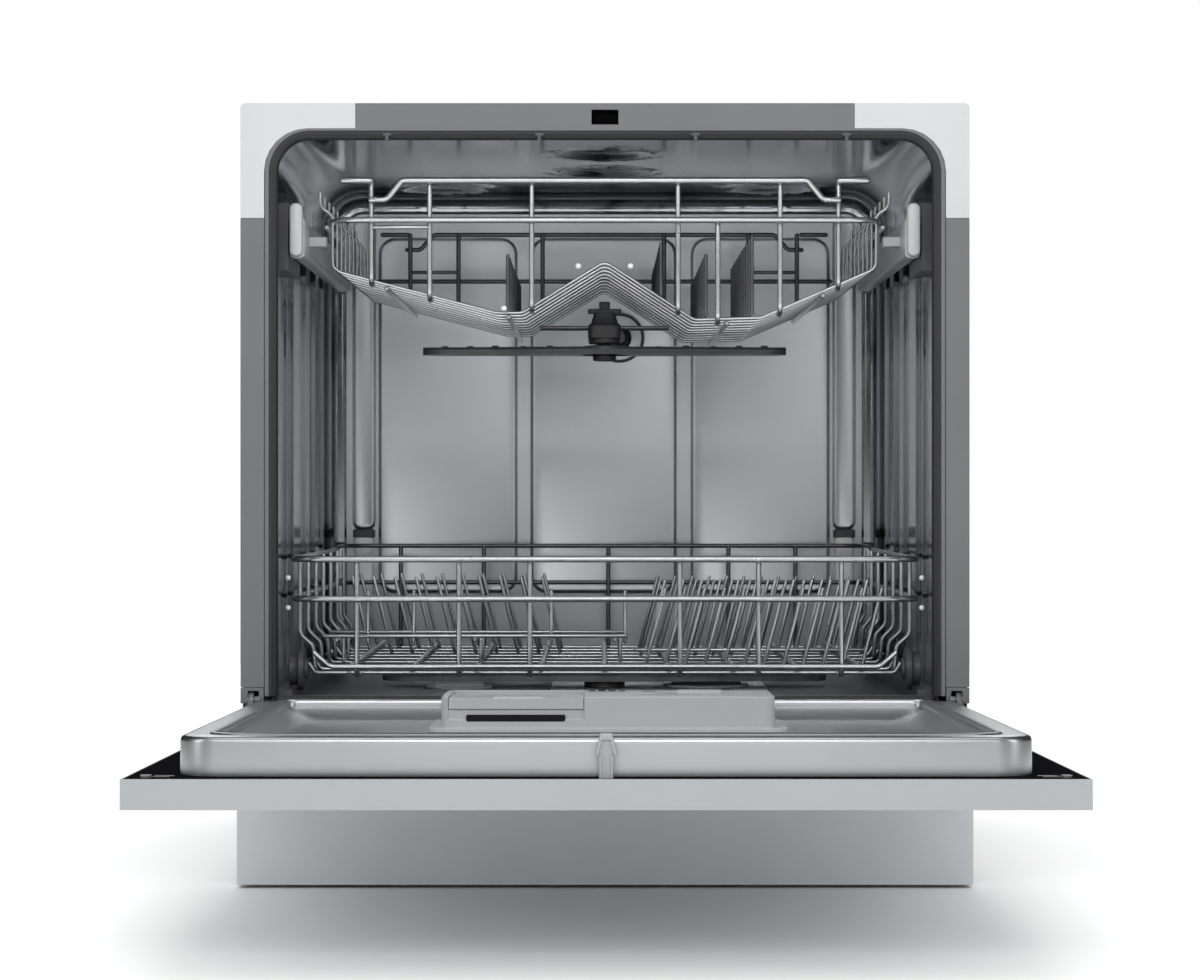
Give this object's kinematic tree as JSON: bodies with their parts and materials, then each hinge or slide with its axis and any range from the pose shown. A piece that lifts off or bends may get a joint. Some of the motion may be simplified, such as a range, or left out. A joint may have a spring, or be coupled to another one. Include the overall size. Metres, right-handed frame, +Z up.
{
  "type": "built in dishwasher",
  "caption": "Compact built-in dishwasher with a drop-down door, sliding upper and lower wire baskets, spray arms, detergent dispenser and inner water parts.",
  "frame": {"origin": "on the floor under the middle of the box around the machine with its door open", "axes": "+X to the right seen from the front, +Y from the open door into the cabinet, +Z up"},
  "size_m": [0.595, 0.9582, 0.595],
  "materials": {
    "cabinet_steel": "satin zinc",
    "black_plastic": "moulded",
    "plinth_silver": "brushed",
    "frame_grey": "satin",
    "light_grey_plastic": "satin",
    "seal_rubber": "matte",
    "tub_steel": "satin",
    "dark_plastic": "moulded",
    "white_plastic": "moulded",
    "grey_plastic": "moulded",
    "arm_grey": "moulded",
    "door_steel": "bright satin",
    "panel_silver": "silver satin",
    "fascia_black": "gloss",
    "insulation": "felt",
    "small_steel": "plain",
    "strike_grey": "satin",
    "basket_wire": "polished"
  },
  "bodies": {
    "cabinet": {"side_panels": "cabinet_steel", "top_panel": "cabinet_steel", "rear_panel": "cabinet_steel", "base_tray": "black_plastic", "plinth_panel": "plinth_silver", "levelling_feet": "black_plastic", "front_frame": "frame_grey", "corner_plates": "light_grey_plastic", "door_gasket": "seal_rubber", "tub_sides": "tub_steel", "tub_ceiling": "tub_steel", "tub_back": "tub_steel", "tub_floor": "dark_plastic", "sump": "dark_plastic", "filter_plate": "tub_steel", "wash_pump": "white_plastic", "drain_pump": "white_plastic", "inlet_valve": "white_plastic", "softener_tank": "white_plastic", "air_breather": "white_plastic", "control_box": "white_plastic", "hinge_brackets": "frame_grey", "door_springs": "small_steel", "latch_catch": "black_plastic", "rail_brackets": "dark_plastic", "feed_pipe": "dark_plastic"},
    "door": {"inner_door": "door_steel", "outer_panel": "panel_silver", "panel_core": "black_plastic", "control_fascia": "fascia_black", "door_insulation": "insulation", "hinge_arms": "door_steel", "latch_strike": "strike_grey", "dispenser_body": "light_grey_plastic", "door_screws": "small_steel"},
    "dispenser_lid": {"dispenser_lid": "light_grey_plastic"},
    "rinse_cap": {"rinse_cap": "light_grey_plastic"},
    "lower_basket": {"lower_basket_walls": "basket_wire", "lower_basket_floor": "basket_wire", "lower_tines_right": "basket_wire", "lower_tines_left": "basket_wire"},
    "fold_row": {"lower_fold_row": "basket_wire"},
    "upper_basket": {"upper_basket_walls": "basket_wire", "upper_basket_floor": "basket_wire", "upper_tines": "basket_wire", "upper_rails": "light_grey_plastic", "upper_arm_mount": "black_plastic"},
    "upper_arm": {"upper_spray_arm": "arm_grey"},
    "lower_arm": {"lower_spray_arm": "arm_grey"},
    "filter_cup": {"filter_cup": "grey_plastic"},
    "salt_cap": {"salt_cap": "white_plastic"},
    "wheel_left_front": {"wheel_left_front": "dark_plastic"},
    "wheel_left_rear": {"wheel_left_rear": "dark_plastic"},
    "wheel_right_front": {"wheel_right_front": "dark_plastic"},
    "wheel_right_rear": {"wheel_right_rear": "dark_plastic"},
    "roller_left_front": {"roller_left_front": "dark_plastic"},
    "roller_left_rear": {"roller_left_rear": "dark_plastic"},
    "roller_right_front": {"roller_right_front": "dark_plastic"},
    "roller_right_rear": {"roller_right_rear": "dark_plastic"}
  },
  "joints": [
    {"name": "door_hinge", "type": "hinge", "parent": "cabinet", "child": "door", "pos_m": [0, -0.02589, 0.1405], "axis": [1, 0, 0], "range_deg": [-88.96, 0]},
    {"name": "lid_slide", "type": "slide", "parent": "door", "child": "dispenser_lid", "axis": [0, 0.9998, -0.0182], "range_m": [0, 0.047]},
    {"name": "rinse_cap_turn", "type": "hinge", "parent": "door", "child": "rinse_cap", "pos_m": [0.069, -0.10978, 0.14702], "axis": [0, 0.0182, 0.9998], "range_deg": [0, 90]},
    {"name": "lower_basket_slide", "type": "slide", "parent": "cabinet", "child": "lower_basket", "axis": [0, -1, 0], "range_m": [0, 0.37]},
    {"name": "fold_row_fold", "type": "hinge", "parent": "lower_basket", "child": "fold_row", "pos_m": [0, 0.15411, 0.1692], "axis": [1, 0, 0], "range_deg": [-90, 0]},
    {"name": "upper_basket_slide", "type": "slide", "parent": "cabinet", "child": "upper_basket", "axis": [0, -1, 0], "range_m": [0, 0.348]},
    {"name": "upper_arm_spin", "type": "hinge", "parent": "upper_basket", "child": "upper_arm", "pos_m": [0, 0.20611, 0.417], "axis": [0, 0, 1], "continuous": true},
    {"name": "lower_arm_spin", "type": "hinge", "parent": "cabinet", "child": "lower_arm", "pos_m": [0, 0.20611, 0.145], "axis": [0, 0, 1], "continuous": true},
    {"name": "filter_cup_turn", "type": "hinge", "parent": "cabinet", "child": "filter_cup", "pos_m": [0.085, 0.20911, 0.1], "axis": [0, 0, 1], "range_deg": [0, 90]},
    {"name": "salt_cap_turn", "type": "hinge", "parent": "cabinet", "child": "salt_cap", "pos_m": [-0.12, 0.17411, 0.137], "axis": [0, 0, 1], "range_deg": [0, 270]},
    {"name": "wheel_left_front_roll", "type": "hinge", "parent": "lower_basket", "child": "wheel_left_front", "pos_m": [-0.24, 0.03911, 0.1606], "axis": [1, 0, 0], "continuous": true},
    {"name": "wheel_left_rear_roll", "type": "hinge", "parent": "lower_basket", "child": "wheel_left_rear", "pos_m": [-0.24, 0.37411, 0.1606], "axis": [1, 0, 0], "continuous": true},
    {"name": "wheel_right_front_roll", "type": "hinge", "parent": "lower_basket", "child": "wheel_right_front", "pos_m": [0.24, 0.03911, 0.1606], "axis": [1, 0, 0], "continuous": true},
    {"name": "wheel_right_rear_roll", "type": "hinge", "parent": "lower_basket", "child": "wheel_right_rear", "pos_m": [0.24, 0.37411, 0.1606], "axis": [1, 0, 0], "continuous": true},
    {"name": "roller_left_front_roll", "type": "hinge", "parent": "cabinet", "child": "roller_left_front", "pos_m": [-0.239, 0.02611, 0.496], "axis": [1, 0, 0], "continuous": true},
    {"name": "roller_left_rear_roll", "type": "hinge", "parent": "cabinet", "child": "roller_left_rear", "pos_m": [-0.239, 0.07811, 0.496], "axis": [1, 0, 0], "continuous": true},
    {"name": "roller_right_front_roll", "type": "hinge", "parent": "cabinet", "child": "roller_right_front", "pos_m": [0.239, 0.02611, 0.496], "axis": [1, 0, 0], "continuous": true},
    {"name": "roller_right_rear_roll", "type": "hinge", "parent": "cabinet", "child": "roller_right_rear", "pos_m": [0.239, 0.07811, 0.496], "axis": [1, 0, 0], "continuous": true}
  ],
  "couplings": [
    {"joint": "wheel_left_front_roll", "follows": "lower_basket_slide", "rad_per_m": 75.758},
    {"joint": "wheel_left_rear_roll", "follows": "lower_basket_slide", "rad_per_m": 75.758},
    {"joint": "wheel_right_front_roll", "follows": "lower_basket_slide", "rad_per_m": 75.758},
    {"joint": "wheel_right_rear_roll", "follows": "lower_basket_slide", "rad_per_m": 75.758},
    {"joint": "roller_left_front_roll", "follows": "upper_basket_slide", "rad_per_m": 86.207},
    {"joint": "roller_left_rear_roll", "follows": "upper_basket_slide", "rad_per_m": 86.207},
    {"joint": "roller_right_front_roll", "follows": "upper_basket_slide", "rad_per_m": 86.207},
    {"joint": "roller_right_rear_roll", "follows": "upper_basket_slide", "rad_per_m": 86.207}
  ]
}
